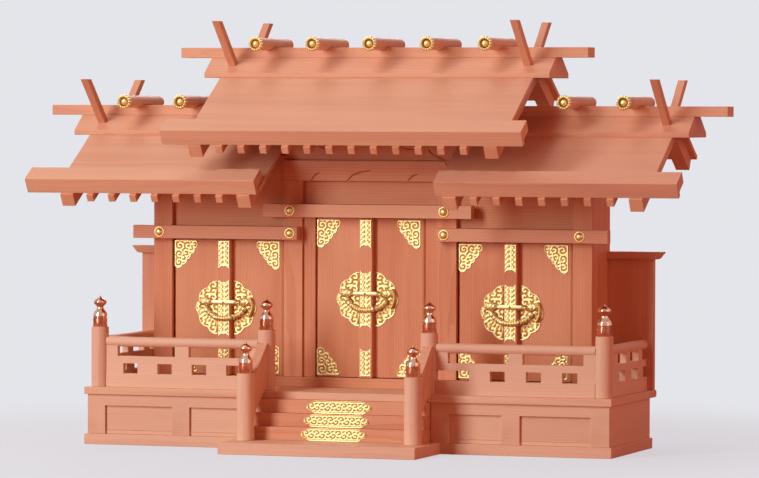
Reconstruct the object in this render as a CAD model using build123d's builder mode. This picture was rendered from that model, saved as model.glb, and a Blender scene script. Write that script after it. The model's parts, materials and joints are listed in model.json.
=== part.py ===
from build123d import *
import os
from math import cos, hypot, radians, sin, tan

os.makedirs("parts", exist_ok=True)

# A three-bay household shrine in plain wood, with a higher roof over the middle bay.
# X runs along the front, Y goes from the front to the back, Z is up.
# The origin is under the middle of the base, on the surface that the shrine stands on.

# Body: pillars, doors between them, boards above
pillar_width = 18.4
centre_bay_width = 107.0
side_bay_width = 110.5
jamb_width = 12.0
body_depth = 74.4
sill_height = 9.0
sill_reach = 2.5
side_door_height = 126.8
centre_lintel_rise = 20.9
lintel_height = 12.1
lintel_thickness = 9.5
side_lintel_outer_reach = 26.4
side_lintel_inner_reach = 7.2
centre_lintel_reach = 26.3
nail_cover_diameter = 10.0
nail_cover_rise = 2.6
centre_board_height = 21.2
carved_beam_height = 19.4
side_frieze_height = 62.4
centre_frieze_height = 54.6
board_thickness = 6.0
board_recess = 5.0
wall_inset = 4.5

# Base and deck
side_deck_width = 37.2
plate_height = 9.7
plate_lip = 2.5
base_height = 46.2
deck_thickness = 6.7
deck_back_lip = 2.8
deck_back_overhang = 13.7
wall_thickness = 6.0
corner_post_width = 17.4
middle_post_width = 17.2
middle_post_offset = 2.0
base_rail_height = 10.5
foot_rail_height = 3.5
panel_recess = 2.5

# Steps
plinth_height = 10.5
plinth_side_reach = 13.6
plinth_front_reach = 75.1
steps_side_reach = 3.4
step_count = 3
tread_depth = 7.4
nosing_reach = 4.3
step_plate_width = 62.0
step_plate_share = 0.96
step_plate_thickness = 1.0
step_plate_lobe = 9.0

# Posts and railings
post_diameter = 16.0
post_height = 55.0
post_setback = 11.0
inner_post_offset = 3.4
newel_offset = 1.5
newel_reach = 39.6
newel_height = 60.3
finial_height = 28.6
finial_sleeve_diameter = 13.0
finial_bulb_diameter = 11.6
finial_neck_diameter = 5.6
top_rail_diameter = 9.2
top_rail_rise = 41.6
middle_rail_rise = 21.8
middle_rail_height = 6.6
middle_rail_depth = 6.0
bottom_rail_height = 12.4
bottom_rail_depth = 8.0
lower_block_width = 19.6
upper_block_width = 13.4
end_block_width = 11.0
block_pitch = 33.8
stair_rail_thickness = 9.0
stair_rail_height = 34.0
stair_rail_drop = 11.0
newel_rail_drop = 4.0

# Wings behind the deck
wing_side_reach = 1.7
wing_height = 119.6
wing_thickness = 7.0
wing_cap_height = 7.0
wing_cap_reach = 8.6
wing_cap_depth = 14.0
wing_sill_depth = 20.0

# Doors
leaf_thickness = 6.0
leaf_recess = 3.5
leaf_gap = 0.8
meeting_gap = 0.6
leaf_clearance = 0.6
pivot_inset = 3.5
pivot_radius = 1.6
pivot_length = 4.0
pivot_clearance = 0.08
socket_end_gap = 0.4
swing_clearance = 4.3
batten_width = 12.4
batten_thickness = 6.0
fitting_thickness = 0.8
fitting_edge_gap = 3.0
fitting_end_gap = 1.8
corner_fitting_width = 22.4
corner_fitting_height = 25.6
strip_width = 10.2
strip_height = 25.6
lock_width = 56.4
lock_height = 51.4
lock_gap = 2.2
lock_ring_width = 50.0
lock_ring_height = 21.0
lock_ring_drop = 2.5
lock_window_width = 25.0
lock_window_height = 6.0
lock_lobe_depth = 5.0
lock_bar_half = 12.7
lock_bar_depth = 2.4
lock_side_drop = 0.8
lock_centre_drop = 1.2

# Roofs
pitch = 31.0
ridge_run = 43.9
centre_eave_reach = 81.5
side_eave_reach = 67.5
roof_back_overhang = 7.0
roof_thickness = 4.0
roof_joint = 0.3
centre_gable_reach = 68.4
side_gable_reach = 70.5
eave_width = 20.6
eave_thickness = 15.1
eave_lip = 5.0
centre_eave_overhang = 20.1
side_eave_overhang = 28.5
side_eave_inset = 1.5
cap_overhang = 15.7
cap_half_depth = 30.5
cap_edge = 4.5
cap_rise = 0.5
ridge_depth = 21.4
ridge_height = 9.4
ridge_overhang = 30.8
log_diameter = 11.6
log_length = 88.6
log_sink = 2.8
log_inset = 41.2
centre_log_count = 5
side_log_count = 2
side_log_pitch = 56.0
log_cap_diameter = 14.4
log_cap_length = 4.0
small_rafter_width = 6.6
small_rafter_depth = 7.3
small_rafter_pitch = 21.2
small_rafter_nose = 3.0
big_rafter_width = 12.8
big_rafter_depth = 13.0
big_rafter_inset = 4.6
big_rafter_nose = 10.5
inner_rafter_inset = 8.0
rafter_back_inset = 3.0
chigi_width = 7.0
chigi_rise = 24.0
chigi_angle = 43.0
chigi_inset = 11.4
chigi_stagger = 3.0
chigi_sink = 8.0

# Places along the front
inner_pillar_x = centre_bay_width / 2 + jamb_width + pillar_width / 2
outer_pillar_x = inner_pillar_x + pillar_width + side_bay_width
beam_half = inner_pillar_x + pillar_width / 2
body_half = outer_pillar_x + pillar_width / 2
base_half = body_half + side_deck_width
post_radius = post_diameter / 2
outer_post_x = base_half - post_radius
inner_post_x = inner_pillar_x + inner_post_offset
newel_x = inner_post_x + newel_offset
middle_post_x = (inner_post_x + outer_post_x) / 2 - middle_post_offset
steps_half = newel_x + steps_side_reach
plinth_half = newel_x + plinth_side_reach
side_roof_inner = beam_half + roof_joint
centre_roof_half = beam_half + centre_gable_reach
side_roof_outer = body_half + side_gable_reach

# Places from the front to the back: the doors swing clear of the round rail in front of them
leaf_reach = side_bay_width / 2 - leaf_gap - pivot_inset + batten_width / 2
swing_radius = hypot(leaf_reach, leaf_thickness / 2 + batten_thickness)
leaf_middle_setback = post_setback + top_rail_diameter / 2 + swing_clearance + swing_radius
pillar_setback = leaf_middle_setback - leaf_thickness / 2 - leaf_recess
base_depth = pillar_setback + body_depth + deck_back_lip - deck_back_overhang
front = -base_depth / 2
back = base_depth / 2
post_y = front + post_setback
newel_y = front - newel_reach
pillar_front = front + pillar_setback
pillar_back = pillar_front + pillar_width
leaf_front = pillar_front + leaf_recess
leaf_y = leaf_front + leaf_thickness / 2
body_back = pillar_front + body_depth
deck_back = body_back + deck_back_lip
back_wall_front = body_back - board_thickness
wing_front = body_back - wing_thickness
ridge_y = pillar_front + ridge_run
roof_back_run = body_back + roof_back_overhang - ridge_y

# Heights
deck_top = base_height + deck_thickness
sill_top = deck_top + sill_height
post_top = deck_top + post_height
newel_top = plinth_height + newel_height
top_rail_z = deck_top + top_rail_rise
middle_rail_z = deck_top + middle_rail_rise
wing_top = deck_top + wing_height
side_lintel_z = sill_top + side_door_height
centre_lintel_z = side_lintel_z + centre_lintel_rise
carved_beam_z = centre_lintel_z + lintel_height + centre_board_height
carved_beam_top = carved_beam_z + carved_beam_height
lean = radians(pitch)
slope = tan(lean)
rafter_drop = small_rafter_depth / cos(lean)
side_apex = side_lintel_z + lintel_height + side_frieze_height + rafter_drop + ridge_run * slope
centre_apex = carved_beam_top + centre_frieze_height + rafter_drop + ridge_run * slope
top_cover = roof_thickness / cos(lean)


def save(part, name):
    part.label = name
    export_step(part, f"parts/{name}.step")


def block(x0, x1, y0, y1, z0, z1, mode=Mode.ADD):
    """A squared piece of timber between two corners."""
    with BuildSketch(Plane.XY.offset(z0)) as section:
        with Locations(((x0 + x1) / 2, (y0 + y1) / 2)):
            Rectangle(abs(x1 - x0), abs(y1 - y0))
    extrude(section.sketch, amount=z1 - z0, mode=mode)


def side_profile(points, x0, x1, mode=Mode.ADD):
    """An outline given as (y, z) points, carried along X from x0 to x1."""
    low, high = min(x0, x1), max(x0, x1)
    with BuildSketch(Plane.YZ.offset(low)) as section:
        with BuildLine():
            Polyline(*points, close=True)
        make_face()
    extrude(section.sketch, amount=high - low, dir=(1, 0, 0), mode=mode)


def front_slope(apex):
    """Plane on top of the rafters: its x runs along the ridge and its y climbs to it."""
    return Plane((0, ridge_y, apex), x_dir=(1, 0, 0), z_dir=(0, -sin(lean), cos(lean)))


def back_slope(apex):
    return Plane((0, ridge_y, apex), x_dir=(-1, 0, 0), z_dir=(0, sin(lean), cos(lean)))


def trim_under(apex, drop):
    """Cut the timbers off where the rafters of a roof pass over them."""
    split(bisect_by=front_slope(apex).offset(-drop), keep=Keep.BOTTOM)
    split(bisect_by=back_slope(apex).offset(-drop), keep=Keep.BOTTOM)


def slope_block(plane, x0, x1, y0, y1, z0, z1):
    """A squared timber lying on a slope, in the slope's own directions."""
    with BuildSketch(plane.offset(min(z0, z1))) as section:
        with Locations(((x0 + x1) / 2, (y0 + y1) / 2)):
            Rectangle(abs(x1 - x0), abs(y1 - y0))
    extrude(section.sketch, amount=abs(z1 - z0))


# Base plate, plinth and the base walls
with BuildPart() as base_plate:
    block(-base_half - plate_lip, base_half + plate_lip, front - plate_lip, back, 0, plate_height)
save(base_plate.part, "base_plate")

with BuildPart() as step_plinth:
    block(-plinth_half, plinth_half, front - plinth_front_reach, front - plate_lip, 0, plinth_height)
save(step_plinth.part, "step_plinth")

frame_back = front + wall_thickness + panel_recess
frame_posts = (
    (base_half - corner_post_width / 2, corner_post_width),
    (middle_post_x, middle_post_width),
    (steps_half + middle_post_width / 2, middle_post_width),
)
with BuildPart() as base_frames:
    for side in (-1, 1):
        block(side * steps_half, side * base_half, front, frame_back,
              base_height - base_rail_height, base_height)
        for centre, width in frame_posts:
            block(side * (centre - width / 2), side * (centre + width / 2), front, frame_back,
                  plate_height, base_height)
        block(side * steps_half, side * base_half, front + panel_recess, frame_back,
              plate_height, plate_height + foot_rail_height)
save(base_frames.part, "base_frames")

panel_spans = (
    (steps_half + middle_post_width, middle_post_x - middle_post_width / 2),
    (middle_post_x + middle_post_width / 2, base_half - corner_post_width),
)
with BuildPart() as base_panels:
    for side in (-1, 1):
        for inner, outer in panel_spans:
            block(side * inner, side * outer, front + panel_recess, frame_back,
                  plate_height + foot_rail_height, base_height - base_rail_height)
save(base_panels.part, "base_panels")

with BuildPart() as base_side_walls:
    for side in (-1, 1):
        block(side * (base_half - wall_thickness), side * base_half, frame_back, back,
              plate_height, base_height)
save(base_side_walls.part, "base_side_walls")

with BuildPart() as base_back_wall:
    block(-base_half + wall_thickness, base_half - wall_thickness, back - wall_thickness, back,
          plate_height, base_height)
save(base_back_wall.part, "base_back_wall")

# Deck, which comes forward a little over the steps
sill_start = deck_back - wing_sill_depth
with BuildPart() as deck:
    block(-base_half - plate_lip, base_half + plate_lip, front - plate_lip, sill_start, base_height, deck_top)
    block(-steps_half, steps_half, front - nosing_reach, front, base_height, deck_top)
    block(-outer_pillar_x, outer_pillar_x, front, body_back, base_height, deck_top)
save(deck.part, "deck")

# Steps: solid blocks, one on the other
riser = (base_height - plinth_height) / step_count
step_fronts = [front - nosing_reach - tread_depth * (step_count - level) for level in range(step_count)]
for level, name in enumerate(("bottom_step", "middle_step", "top_step")):
    with BuildPart() as step:
        step_z = plinth_height + riser * level
        step_back = front if step_z >= plate_height else front - plate_lip
        block(-steps_half, steps_half, step_fronts[level], step_back, step_z, step_z + riser)
    save(step.part, name)

# Gilt plates on the risers: a long plate with a shoulder and a point at each end
plate_rise = riser * step_plate_share / 2
plate_half = step_plate_width / 2
lobe = step_plate_lobe
with BuildPart() as step_fittings:
    for level in range(step_count):
        z = plinth_height + riser * (level + 0.5)
        with BuildSketch(Plane.XZ.offset(-step_fronts[level])):
            with BuildLine():
                for end in (-1, 1):
                    for up in (-1, 1):
                        Polyline((end * (plate_half - lobe), z + up * plate_rise),
                                 (end * (plate_half - lobe * 0.6), z + up * plate_rise * 0.8),
                                 (end * (plate_half - lobe * 0.45), z + up * plate_rise * 0.4),
                                 (end * plate_half, z))
                for up in (-1, 1):
                    Line((-plate_half + lobe, z + up * plate_rise), (plate_half - lobe, z + up * plate_rise))
            make_face()
        extrude(amount=step_plate_thickness)
save(step_fittings.part, "step_fittings")

# Round posts on the deck and at the foot of the steps
deck_posts = [(side * x, post_y, deck_top, post_top) for side in (-1, 1) for x in (outer_post_x, inner_post_x)]
newels = [(side * newel_x, newel_y, plinth_height, newel_top) for side in (-1, 1)]


def post_shapes(posts, mode=Mode.ADD):
    for x, y, z0, z1 in posts:
        with BuildSketch(Plane.XY.offset(z0)) as section:
            with Locations((x, y)):
                Circle(post_radius)
        extrude(section.sketch, amount=z1 - z0, mode=mode)


with BuildPart() as rail_posts:
    post_shapes(deck_posts + newels)
save(rail_posts.part, "rail_posts")

# Onion-shaped caps, turned in one piece: a sleeve, a neck, a bulb and a point
sleeve = finial_sleeve_diameter / 2
bulb = finial_bulb_diameter / 2
neck = finial_neck_diameter / 2
with BuildPart() as post_finials:
    for x, y, z0, z1 in deck_posts + newels:
        with BuildSketch(Plane((x, y, z1), x_dir=(1, 0, 0), z_dir=(0, -1, 0))):
            with BuildLine():
                Polyline((0, 0), (sleeve, 0), (sleeve, finial_height * 0.42), (neck, finial_height * 0.6),
                         (bulb, finial_height * 0.8), (0, finial_height), close=True)
            make_face()
        revolve(axis=Axis((x, y, z1), (0, 0, 1)))
save(post_finials.part, "post_finials")

# Railings along the front: bottom board, blocks, thin rail, blocks and round rail
rail_bottom_top = deck_top + bottom_rail_height
middle_rail_top = middle_rail_z + middle_rail_height
let_in = 0.5
front_rail_inner = inner_post_x + post_radius - let_in
front_rail_outer = outer_post_x - post_radius + let_in
lower_count = int((front_rail_outer - front_rail_inner - lower_block_width / 2) / block_pitch)
lower_block_x = [front_rail_outer - lower_block_width / 2 + 3 - block_pitch * i for i in range(lower_count)]
upper_block_spans = (
    (front_rail_outer - end_block_width, front_rail_outer),
    ((front_rail_inner + front_rail_outer - upper_block_width) / 2,
     (front_rail_inner + front_rail_outer + upper_block_width) / 2),
    (front_rail_inner, front_rail_inner + end_block_width),
)
half_middle = middle_rail_depth / 2
half_bottom = bottom_rail_depth / 2
with BuildPart() as front_railings:
    for side in (-1, 1):
        low, high = sorted((side * front_rail_inner, side * front_rail_outer))
        block(low, high, post_y - half_bottom, post_y + half_bottom, deck_top, rail_bottom_top)
        block(low, high, post_y - half_middle, post_y + half_middle, middle_rail_z, middle_rail_top)
        with BuildSketch(Plane.YZ.offset(low)) as rail_section:
            with Locations((post_y, top_rail_z)):
                Circle(top_rail_diameter / 2)
        extrude(rail_section.sketch, amount=high - low)
        for x in lower_block_x:
            block(side * x - lower_block_width / 2, side * x + lower_block_width / 2, post_y - half_middle,
                  post_y + half_middle, rail_bottom_top, middle_rail_z)
        for start, end in upper_block_spans:
            block(side * start, side * end, post_y - half_middle, post_y + half_middle,
                  middle_rail_top, top_rail_z)
    post_shapes(deck_posts, Mode.SUBTRACT)
save(front_railings.part, "front_railings")

side_rail_front = post_y + post_radius - let_in
side_rail_length = wing_front - side_rail_front
side_blocks = [side_rail_front + side_rail_length * share for share in (0.16, 0.5, 0.84)]
with BuildPart() as side_railings:
    for side in (-1, 1):
        x = side * outer_post_x
        block(x - half_bottom, x + half_bottom, side_rail_front, wing_front, deck_top, rail_bottom_top)
        block(x - half_middle, x + half_middle, side_rail_front, wing_front, middle_rail_z, middle_rail_top)
        with BuildSketch(Plane.XZ.offset(-side_rail_front)) as rail_section:
            with Locations((x, top_rail_z)):
                Circle(top_rail_diameter / 2)
        extrude(rail_section.sketch, amount=-side_rail_length)
        for y in side_blocks:
            block(x - half_middle, x + half_middle, y - lower_block_width / 2, y + lower_block_width / 2,
                  rail_bottom_top, middle_rail_z)
            block(x - half_middle, x + half_middle, y - upper_block_width / 2, y + upper_block_width / 2,
                  middle_rail_top, top_rail_z)
    post_shapes(deck_posts, Mode.SUBTRACT)
save(side_railings.part, "side_railings")

# Slanting boards beside the steps, from the inner posts down to the newels
stair_rail_back = post_y - post_radius + let_in
stair_rail_front = newel_y + post_radius - let_in
stair_rail_x = (inner_post_x + newel_x) / 2
with BuildPart() as stair_rails:
    for side in (-1, 1):
        side_profile(
            [(stair_rail_back, deck_top), (stair_rail_back, post_top - stair_rail_drop),
             (stair_rail_front, newel_top - newel_rail_drop),
             (stair_rail_front, newel_top - newel_rail_drop - stair_rail_height),
             (front - nosing_reach, deck_top)],
            side * (stair_rail_x - stair_rail_thickness / 2), side * (stair_rail_x + stair_rail_thickness / 2))
    post_shapes(deck_posts + newels, Mode.SUBTRACT)
save(stair_rails.part, "stair_rails")

# Each bay: its left and right edge, the height of its lintel and how far its lock hangs under mid height
bays = {
    "left": (-outer_pillar_x + pillar_width / 2, -beam_half, side_lintel_z, lock_side_drop),
    "centre": (-centre_bay_width / 2, centre_bay_width / 2, centre_lintel_z, lock_centre_drop),
    "right": (beam_half, outer_pillar_x - pillar_width / 2, side_lintel_z, lock_side_drop),
}
pivots = []
for bay_left, bay_right, head_z, lock_drop in bays.values():
    pivots.append((bay_left + leaf_gap + pivot_inset, head_z))
    pivots.append((bay_right - leaf_gap - pivot_inset, head_z))
socket_width = 2 * (pivot_radius + pivot_clearance)
socket_depth = pivot_length + socket_end_gap

# Sill beam, with square sockets for the lower pins of the doors
with BuildPart() as sill_beam:
    block(-body_half, body_half, pillar_front - sill_reach, pillar_back, deck_top, sill_top)
    for x, head_z in pivots:
        block(x - socket_width / 2, x + socket_width / 2, leaf_y - socket_width / 2, leaf_y + socket_width / 2,
              sill_top - socket_depth, sill_top, Mode.SUBTRACT)
save(sill_beam.part, "sill_beam")

# Pillars: the outer ones go up to the rafters, the inner ones up to the carved beam
with BuildPart() as outer_pillars:
    for side in (-1, 1):
        block(side * (outer_pillar_x - pillar_width / 2), side * body_half, pillar_front, pillar_back,
              sill_top, side_apex)
    trim_under(side_apex, small_rafter_depth)
save(outer_pillars.part, "outer_pillars")

with BuildPart() as inner_pillars:
    for side in (-1, 1):
        block(side * (beam_half - pillar_width), side * beam_half, pillar_front, pillar_back,
              sill_top, carved_beam_z)
save(inner_pillars.part, "inner_pillars")

# Heads over the doors, and the jambs of the middle bay
frame_front = leaf_front - 1
with BuildPart() as door_frames:
    for name, (bay_left, bay_right, head_z, lock_drop) in bays.items():
        jamb = jamb_width if name == "centre" else 0
        block(bay_left - jamb, bay_right + jamb, frame_front, pillar_back, head_z, head_z + lintel_height)
        if jamb:
            block(bay_left - jamb, bay_left, frame_front, pillar_back, sill_top, head_z)
            block(bay_right, bay_right + jamb, frame_front, pillar_back, sill_top, head_z)
    for x, head_z in pivots:
        block(x - socket_width / 2, x + socket_width / 2, leaf_y - socket_width / 2, leaf_y + socket_width / 2,
              head_z, head_z + socket_depth, Mode.SUBTRACT)
save(door_frames.part, "door_frames")

# Lintels across the faces of the pillars
lintel_front = pillar_front - lintel_thickness
centre_lintel_half = inner_pillar_x + centre_lintel_reach
with BuildPart() as lintels:
    for side in (-1, 1):
        block(side * (inner_pillar_x - side_lintel_inner_reach),
              side * (outer_pillar_x + side_lintel_outer_reach), lintel_front, pillar_front, side_lintel_z, side_lintel_z + lintel_height)
    block(-centre_lintel_half, centre_lintel_half, lintel_front, pillar_front,
          centre_lintel_z, centre_lintel_z + lintel_height)
save(lintels.part, "lintels")

# Low pointed covers where the lintels cross the pillars
cover_places = [(side * x, z + lintel_height / 2) for side in (-1, 1) for x, z in (
    (outer_pillar_x, side_lintel_z), (inner_pillar_x, side_lintel_z), (inner_pillar_x, centre_lintel_z))]
cover = nail_cover_diameter / 2
with BuildPart() as nail_covers:
    for x, z in cover_places:
        with BuildSketch(Plane((x, lintel_front, z), x_dir=(1, 0, 0), z_dir=(0, 0, 1))):
            with BuildLine():
                Polyline((0, 0), (cover, 0), (0, -nail_cover_rise), close=True)
            make_face()
        revolve(axis=Axis((x, lintel_front, z), (0, 1, 0)))
save(nail_covers.part, "nail_covers")

# Boards over the doors, up to the rafters
board_front = pillar_front + board_recess
with BuildPart() as upper_boards:
    for side in (-1, 1):
        block(side * beam_half, side * (outer_pillar_x - pillar_width / 2), board_front,
              board_front + board_thickness, side_lintel_z + lintel_height, side_apex)
    trim_under(side_apex, small_rafter_depth)
save(upper_boards.part, "upper_boards")

with BuildPart() as centre_upper_boards:
    block(-beam_half + pillar_width, beam_half - pillar_width, board_front, board_front + board_thickness,
          centre_lintel_z + lintel_height, carved_beam_z)
    block(-beam_half, beam_half, board_front, pillar_back, carved_beam_top, centre_apex)
    trim_under(centre_apex, small_rafter_depth)
save(centre_upper_boards.part, "centre_upper_boards")

# Beam under the middle eave, whose face carries incised curves
with BuildPart() as carved_beam:
    block(-beam_half, beam_half, pillar_front, pillar_back, carved_beam_z, carved_beam_top)
save(carved_beam.part, "carved_beam")

# Side walls, back wall and the gable walls of the higher middle
wall_outer = body_half - wall_inset
wall_inner = wall_outer - board_thickness
with BuildPart() as side_walls:
    for side in (-1, 1):
        block(side * wall_inner, side * wall_outer, pillar_back, body_back, deck_top, side_apex)
    trim_under(side_apex, small_rafter_depth)
save(side_walls.part, "side_walls")

with BuildPart() as back_wall:
    block(-wall_inner, wall_inner, back_wall_front, body_back, deck_top, side_apex)
    trim_under(side_apex, small_rafter_depth)
save(back_wall.part, "back_wall")

gable_wall_z = side_lintel_z + lintel_height
with BuildPart() as middle_back_wall:
    block(-beam_half, beam_half, back_wall_front, body_back, gable_wall_z, centre_apex)
    trim_under(centre_apex, small_rafter_depth)
    add(back_wall.part, mode=Mode.SUBTRACT)
save(middle_back_wall.part, "middle_back_wall")

with BuildPart() as middle_gable_walls:
    for side in (-1, 1):
        block(side * (beam_half - board_thickness), side * beam_half, pillar_back, back_wall_front,
              gable_wall_z, centre_apex)
    trim_under(centre_apex, small_rafter_depth)
save(middle_gable_walls.part, "middle_gable_walls")

# Wings behind the deck: a sill with a rounded back edge, a panel and a moulded cap on each side
with BuildPart() as wing_sills:
    for side in (-1, 1):
        block(side * outer_pillar_x, side * (base_half + plate_lip), sill_start, deck_back,
              base_height, deck_top)
    fillet(wing_sills.edges().filter_by(Axis.X).group_by(Axis.Y)[-1], min(deck_back_lip, deck_thickness * 0.45))
save(wing_sills.part, "wing_sills")

wing_end = base_half + wing_side_reach
with BuildPart() as wing_panels:
    for side in (-1, 1):
        block(side * wall_outer, side * wing_end, wing_front, body_back, deck_top, wing_top)
save(wing_panels.part, "wing_panels")

cap_front = wing_front - (wing_cap_depth - wing_thickness) / 2
cap_top = wing_top + wing_cap_height
cap_end = wing_end + wing_cap_reach
cap_curve = wing_end + wing_cap_reach * 0.15
with BuildPart() as wing_caps:
    for side in (-1, 1):
        with BuildSketch(Plane.XZ.offset(-cap_front - wing_cap_depth)):
            with BuildLine():
                Line((side * wall_outer, wing_top), (side * cap_curve, wing_top))
                Spline((side * cap_curve, wing_top), (side * (wing_end + wing_cap_reach * 0.7), cap_top - 4.0),
                       (side * cap_end, cap_top - 1.5), tangents=((side, 0), (side, 0.5)))
                Polyline((side * cap_end, cap_top - 1.5), (side * cap_end, cap_top),
                         (side * wall_outer, cap_top), (side * wall_outer, wing_top))
            make_face()
        extrude(amount=wing_cap_depth)
    for side in (-1, 1):
        block(side * (wall_inner - 1), side * body_half, cap_front - 1, pillar_back,
              wing_top, cap_top, Mode.SUBTRACT)
save(wing_caps.part, "wing_caps")


# Roofs
def board_profile(apex, eave_reach):
    """Both slopes' boards as one outline: rafter tops below, roof surface above."""
    start = pillar_front - eave_reach + eave_lip * cos(lean)
    end = ridge_y + roof_back_run
    drop = roof_thickness * sin(lean)
    lift = roof_thickness * cos(lean)
    start_z = apex - (ridge_y - start) * slope
    end_z = apex - (end - ridge_y) * slope
    return [(start, start_z), (ridge_y, apex), (end, end_z), (end + drop, end_z + lift),
            (ridge_y, apex + top_cover), (start - drop, start_z + lift)]


with BuildPart() as centre_roof_boards:
    side_profile(board_profile(centre_apex, centre_eave_reach), -centre_roof_half, centre_roof_half)
save(centre_roof_boards.part, "centre_roof_boards")

with BuildPart() as side_roof_boards:
    for side in (-1, 1):
        side_profile(board_profile(side_apex, side_eave_reach), side * side_roof_inner, side * side_roof_outer)
save(side_roof_boards.part, "side_roof_boards")

# Thick eave boards, rebated over the lower edge of the roof boards
centre_eave_half = centre_roof_half + centre_eave_overhang
side_eave_span = (side_roof_inner + side_eave_inset, side_roof_outer + side_eave_overhang)
centre_run = (ridge_run + centre_eave_reach) / cos(lean)
side_run = (ridge_run + side_eave_reach) / cos(lean)
with BuildPart() as eave_boards:
    for apex, run, x0, x1 in (
        (centre_apex, centre_run, -centre_eave_half, centre_eave_half),
        (side_apex, side_run, side_eave_span[0], side_eave_span[1]),
        (side_apex, side_run, -side_eave_span[1], -side_eave_span[0]),
    ):
        slope_block(front_slope(apex), x0, x1, -run, -run + eave_lip, 0, eave_thickness)
        slope_block(front_slope(apex), x0, x1, -run + eave_lip, -run + eave_width,
                    roof_thickness, eave_thickness)
save(eave_boards.part, "eave_boards")


def rafters(plane, run, centres, width, depth, top_gap):
    for x in centres:
        slope_block(plane, x - width / 2, x + width / 2, -run, -top_gap, 0, -depth)


# Rafters: small ones between a large one at each end, all under the roof boards
small_top_gap = small_rafter_depth * slope + 3
big_top_gap = big_rafter_depth * slope + 1
back_run = roof_back_run / cos(lean) - rafter_back_inset
centre_big_x = centre_roof_half - big_rafter_inset - big_rafter_width / 2
centre_small_count = int(2 * (centre_big_x - big_rafter_width / 2) / small_rafter_pitch)
centre_small_x = [small_rafter_pitch * (i - (centre_small_count - 1) / 2) for i in range(centre_small_count)]
with BuildPart() as centre_rafters:
    for plane, small_run, big_run in (
        (front_slope(centre_apex), centre_run + small_rafter_nose, centre_run + big_rafter_nose),
        (back_slope(centre_apex), back_run, back_run),
    ):
        rafters(plane, small_run, centre_small_x, small_rafter_width, small_rafter_depth, small_top_gap)
        rafters(plane, big_run, (-centre_big_x, centre_big_x), big_rafter_width, big_rafter_depth, big_top_gap)
save(centre_rafters.part, "centre_rafters")

side_big_outer = side_roof_outer - big_rafter_inset - big_rafter_width / 2
side_big_inner = side_roof_inner + inner_rafter_inset + big_rafter_width / 2
side_small_span = side_big_outer - side_big_inner - big_rafter_width
side_small_count = int(side_small_span / small_rafter_pitch)
side_small_x = [(side_big_outer + side_big_inner) / 2 + small_rafter_pitch * (i - (side_small_count - 1) / 2)
                for i in range(side_small_count)]
inner_rafter_stop = ridge_run / cos(lean) + big_rafter_depth * slope
with BuildPart() as side_rafters:
    for side in (-1, 1):
        small_x = [side * x for x in side_small_x]
        plane = front_slope(side_apex)
        rafters(plane, side_run + small_rafter_nose, small_x, small_rafter_width, small_rafter_depth,
                small_top_gap)
        rafters(plane, side_run + big_rafter_nose, [side * side_big_outer], big_rafter_width,
                big_rafter_depth, big_top_gap)
        rafters(plane, side_run + big_rafter_nose, [side * side_big_inner], big_rafter_width,
                big_rafter_depth, inner_rafter_stop)
        plane = back_slope(side_apex)
        rafters(plane, back_run, [-x for x in small_x], small_rafter_width, small_rafter_depth, small_top_gap)
        rafters(plane, back_run, [-side * side_big_outer], big_rafter_width, big_rafter_depth, big_top_gap)
save(side_rafters.part, "side_rafters")


# Ridge caps, ridge boards, logs and forked boards
def cap_profile(apex, below=0.0):
    """The cap's outline over one roof, carried down by a given depth when it serves as a cutter."""
    low = apex + top_cover - cap_half_depth * slope
    top = apex + top_cover + cap_rise
    half = ridge_depth / 2
    return [(ridge_y - cap_half_depth, low - below), (ridge_y + cap_half_depth, low - below),
            (ridge_y + cap_half_depth, low + cap_edge), (ridge_y + half, top), (ridge_y - half, top),
            (ridge_y - cap_half_depth, low + cap_edge)]


ridge_spans = (
    (centre_apex, -centre_roof_half, centre_roof_half, 1, 1),
    (side_apex, side_roof_inner, side_roof_outer, 0, 1),
    (side_apex, -side_roof_outer, -side_roof_inner, 1, 0),
)
with BuildPart() as ridge_caps:
    for apex, x0, x1, out0, out1 in ridge_spans:
        low = apex + top_cover - cap_half_depth * slope
        side_profile(cap_profile(apex), x0 - out0 * cap_overhang, x1 + out1 * cap_overhang)
        side_profile([(ridge_y - cap_half_depth, low), (ridge_y + cap_half_depth, low),
                      (ridge_y, apex + top_cover)], x0, x1, mode=Mode.SUBTRACT)
save(ridge_caps.part, "ridge_caps")

log_radius = log_diameter / 2
log_front = ridge_y - log_length / 2
centre_log_x = centre_roof_half - log_inset
centre_log_pitch = 2 * centre_log_x / (centre_log_count - 1)
logs = [(centre_log_pitch * i - centre_log_x, centre_apex) for i in range(centre_log_count)]
logs += [(side * (side_roof_outer - log_inset - side_log_pitch * i), side_apex)
         for side in (-1, 1) for i in range(side_log_count)]
ridge_base = top_cover + cap_rise
log_rise = ridge_base + ridge_height + log_radius - log_sink


def log_shape(x, z, mode=Mode.ADD):
    with BuildSketch(Plane.XZ.offset(-log_front)) as section:
        with Locations((x, z)):
            Circle(log_radius)
    extrude(section.sketch, amount=-log_length, mode=mode)


with BuildPart() as ridge_boards:
    for apex, x0, x1, out0, out1 in ridge_spans:
        reach = cap_overhang + ridge_overhang
        block(x0 - out0 * reach, x1 + out1 * reach, ridge_y - ridge_depth / 2, ridge_y + ridge_depth / 2,
              apex + ridge_base, apex + ridge_base + ridge_height)
    for x, apex in logs:
        log_shape(x, apex + log_rise, Mode.SUBTRACT)
save(ridge_boards.part, "ridge_boards")

with BuildPart() as ridge_logs:
    for x, apex in logs:
        log_shape(x, apex + log_rise)
save(ridge_logs.part, "ridge_logs")

# Gilt caps on the logs' front ends
cap_radius = log_cap_diameter / 2
with BuildPart() as log_caps:
    for x, apex in logs:
        z = apex + log_rise
        with BuildSketch(Plane.XZ.offset(-log_front)):
            with Locations((x, z)):
                Circle(cap_radius)
        extrude(amount=log_cap_length)
save(log_caps.part, "log_caps")

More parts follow.
